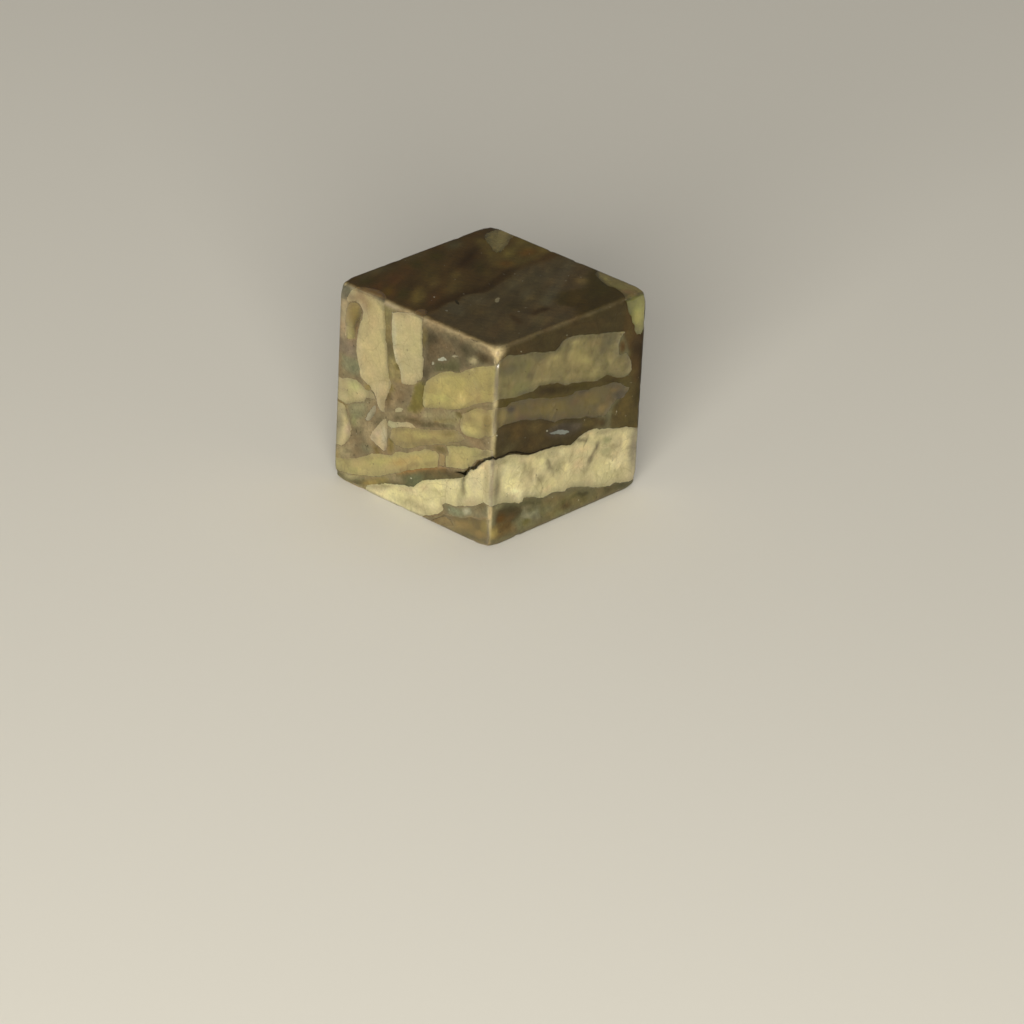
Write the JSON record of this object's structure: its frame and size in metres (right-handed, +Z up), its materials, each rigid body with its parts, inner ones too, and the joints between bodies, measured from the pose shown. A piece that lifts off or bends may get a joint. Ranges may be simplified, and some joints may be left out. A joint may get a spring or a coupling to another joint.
{
  "type": "pallasite meteorite cube",
  "caption": "Small polished cube of stony-iron meteorite, with yellow olivine crystals set in grey-brown nickel-iron, that rests on any flat face.",
  "frame": {"origin": "centre of the underside, on the surface that the cube stands on", "axes": "+Z up; the cube's sides lie along X, Y and Z; -Y is the front face with the upright crystal plates, +X is the side face with the wide pale band"},
  "size_m": [0.025, 0.025, 0.025],
  "materials": {
    "pallasite": "polished cut face of yellow olivine and grey-brown nickel-iron"
  },
  "bodies": {
    "root": {"pallasite_cube": "pallasite"}
  },
  "joints": []
}
